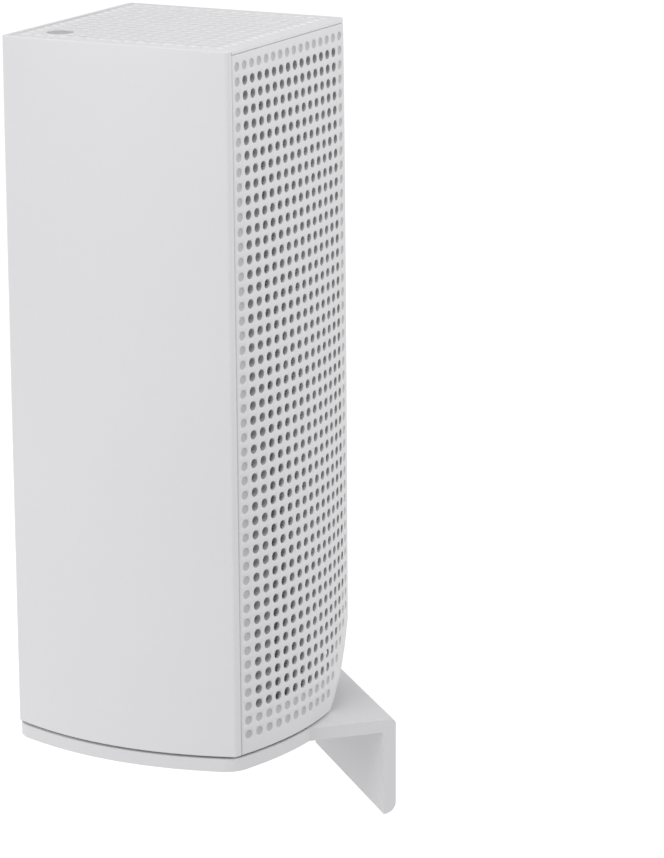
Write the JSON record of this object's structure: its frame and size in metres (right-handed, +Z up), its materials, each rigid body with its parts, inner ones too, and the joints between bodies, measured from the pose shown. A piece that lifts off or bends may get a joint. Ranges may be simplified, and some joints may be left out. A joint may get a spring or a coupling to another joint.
{
  "type": "mesh wifi node",
  "caption": "Tall square tower mesh wifi node with bowed sides, perforated rear faces and a downward port recess, standing on the tray of its bent wall bracket.",
  "frame": {"origin": "middle of the back of the bracket's wall plate, on the wall", "axes": "+Z up, +Y from the object into the wall, +X along the wall; the node's corner with the status light points to -Y"},
  "size_m": [0.0932, 0.0967, 0.213],
  "materials": {
    "white_shell": "satin white, moulded",
    "bracket_plastic": "semi-gloss white sheet",
    "base_plastic": "satin white, moulded",
    "lens": "translucent grey, unlit",
    "led_body": "clear",
    "screen_mesh": "fine woven mesh, matte",
    "dark_plastic": "matte",
    "button_plastic": "matte",
    "foot_rubber": "matte",
    "circuit_board": "solder mask",
    "shield_tin": "tinned",
    "contact_gold": "gold plated",
    "steel": "zinc plated",
    "thermal_pad": "soft, matte",
    "sink_aluminium": "extruded",
    "lead_jacket": "matte"
  },
  "bodies": {
    "bracket": {"wall_bracket": "bracket_plastic"},
    "node": {"front_shell": "white_shell", "rear_shell": "white_shell", "dust_screen": "screen_mesh", "top_cover": "white_shell", "led_lens": "lens", "led_board": "circuit_board", "status_led": "led_body", "base_cover": "base_plastic", "ethernet_jack_1": "shield_tin", "ethernet_jack_2": "shield_tin", "jack_contacts_1": "contact_gold", "jack_contacts_2": "contact_gold", "power_inlet": "dark_plastic", "inlet_pin": "steel", "power_switch_body": "dark_plastic", "reset_switch": "dark_plastic", "foot_1": "foot_rubber", "foot_2": "foot_rubber", "foot_3": "foot_rubber", "foot_4": "foot_rubber", "chassis": "dark_plastic", "main_board": "circuit_board", "radio_board": "circuit_board", "io_board": "circuit_board", "shield_can_1": "shield_tin", "shield_can_2": "shield_tin", "shield_can_3": "shield_tin", "thermal_pad_1": "thermal_pad", "thermal_pad_2": "thermal_pad", "front_heatsink": "sink_aluminium", "rear_heatsink": "sink_aluminium", "antenna_1": "circuit_board", "antenna_2": "circuit_board", "antenna_3": "circuit_board", "antenna_4": "circuit_board", "antenna_5": "circuit_board", "antenna_6": "circuit_board", "antenna_lead_1": "lead_jacket", "antenna_lead_2": "lead_jacket", "antenna_lead_3": "lead_jacket", "antenna_lead_4": "lead_jacket", "antenna_lead_5": "lead_jacket", "antenna_lead_6": "lead_jacket", "base_screw_1": "steel", "base_screw_2": "steel", "base_screw_3": "steel", "main_board_screw_1": "steel", "main_board_screw_2": "steel", "main_board_screw_3": "steel", "main_board_screw_4": "steel", "radio_board_screw_1": "steel", "radio_board_screw_2": "steel", "radio_board_screw_3": "steel", "radio_board_screw_4": "steel"},
    "rocker": {"power_rocker": "dark_plastic"},
    "reset": {"reset_button": "button_plastic"}
  },
  "joints": [
    {"name": "node_lift", "type": "slide", "parent": "bracket", "child": "node", "axis": [0, 0, 1], "range_m": [0, 0.05]},
    {"name": "power_rocker_tilt", "type": "hinge", "parent": "node", "child": "rocker", "pos_m": [0.0114, -0.051, 0.0427], "axis": [1, 0, 0], "range_deg": [0, 16]},
    {"name": "reset_press", "type": "slide", "parent": "node", "child": "reset", "axis": [0, 0, 1], "range_m": [0, 0.0008], "stiffness_N_per_m": 400, "springref_m": -0.0005}
  ]
}
